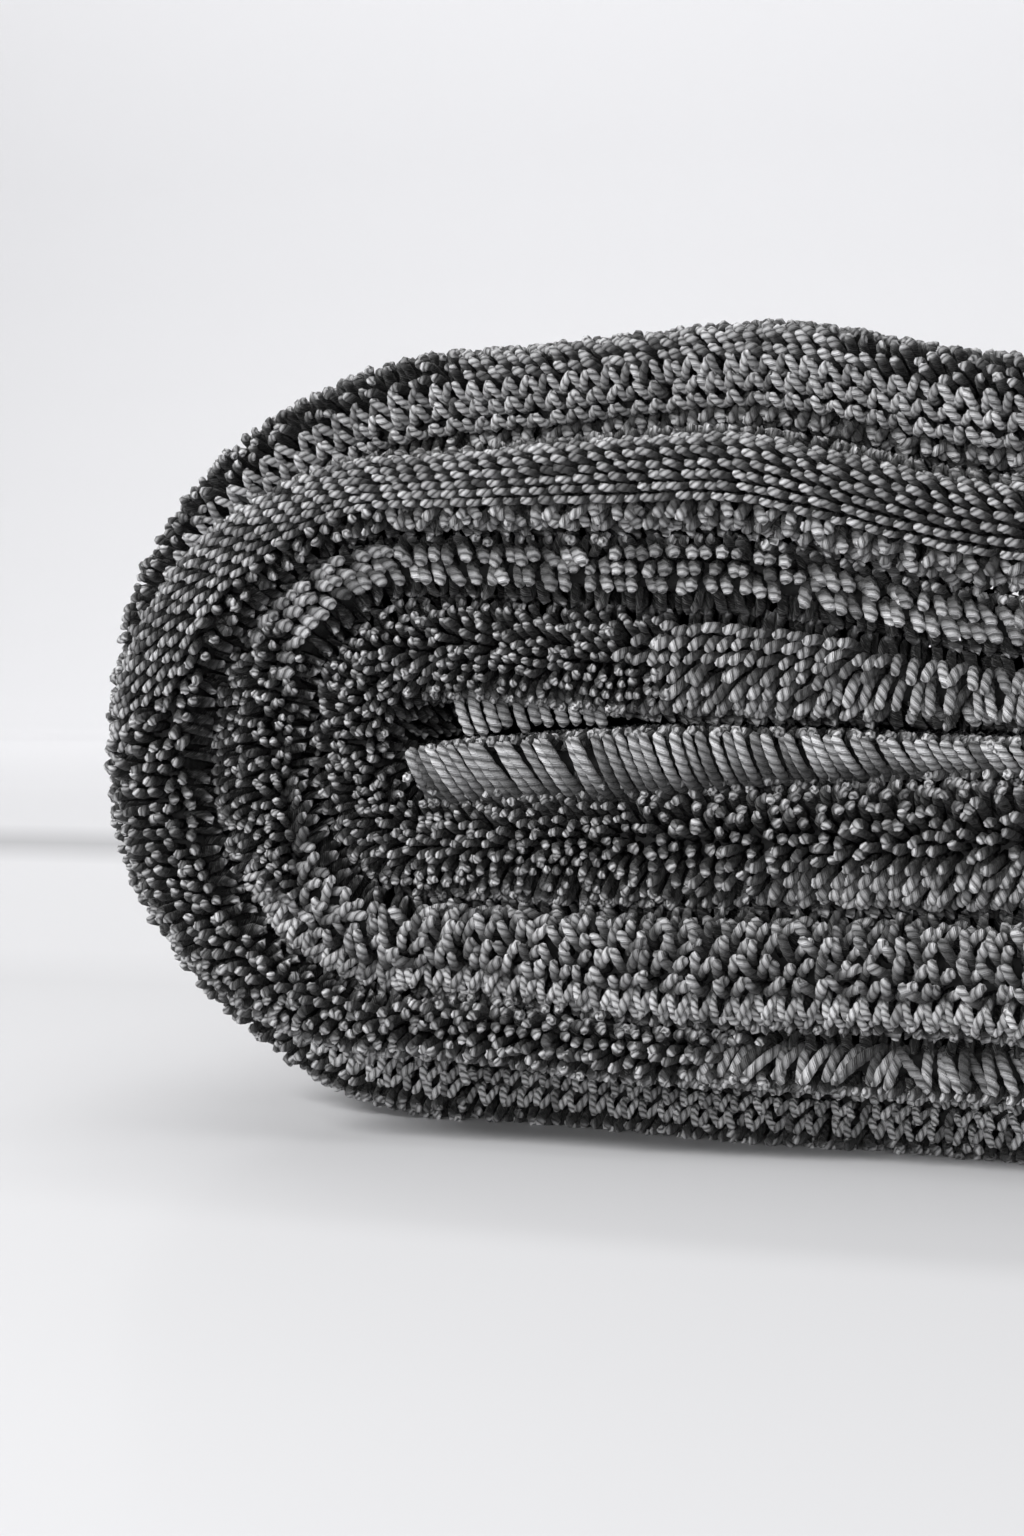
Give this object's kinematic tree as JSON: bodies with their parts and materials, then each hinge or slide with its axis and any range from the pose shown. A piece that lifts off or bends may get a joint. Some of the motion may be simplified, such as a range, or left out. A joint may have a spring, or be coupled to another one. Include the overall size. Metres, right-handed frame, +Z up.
{
  "type": "rolled drying towel",
  "caption": "Thick drying towel with a twisted-loop pile, folded double, wound flat into an oval roll and lying on its side.",
  "frame": {"origin": "middle of the box around the roll, on the surface it lies on", "axes": "+Z up, +Y along the winding axis from the folded edge to the hems, +X to the right when the folded edge is faced"},
  "size_m": [0.134, 0.2708, 0.0811],
  "materials": {
    "towel_pile": "matt, long twisted loops of dark grey yarn"
  },
  "bodies": {
    "root": {"towel": "towel_pile"}
  },
  "joints": []
}
